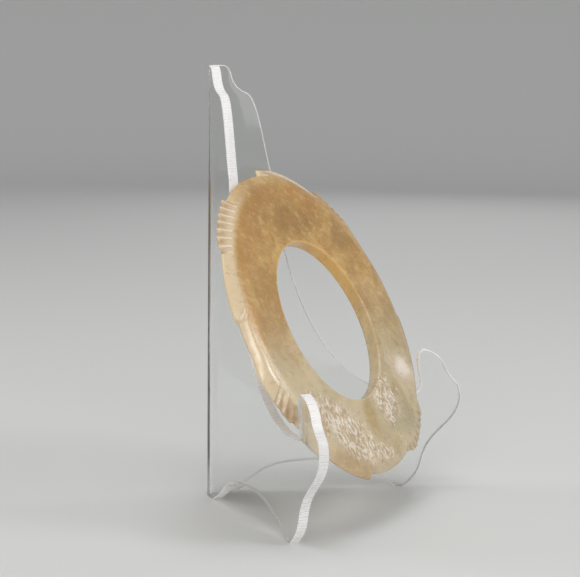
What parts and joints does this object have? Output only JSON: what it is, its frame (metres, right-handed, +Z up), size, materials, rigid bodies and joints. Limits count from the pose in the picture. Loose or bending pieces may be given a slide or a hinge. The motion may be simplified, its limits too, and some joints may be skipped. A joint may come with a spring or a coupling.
{
  "type": "toothed jade disc on a clear stand",
  "caption": "Flat ring of honey-coloured jade with hooked teeth and ridged crests on its thin rim, leaning back in a clear stand bent from one sheet.",
  "frame": {"origin": "on the floor, in the stand's plane of symmetry, midway between the noses of its hooks and the back of its spine", "axes": "+Z up, the disc's face and the open side of the stand towards -Y, +X to the right as the disc's face is seen"},
  "size_m": [0.1002, 0.0634, 0.131],
  "materials": {
    "jade": "gloss",
    "clear_acrylic": "polished"
  },
  "bodies": {
    "root": {"jade_disc": "jade", "display_stand": "clear_acrylic"}
  },
  "joints": []
}
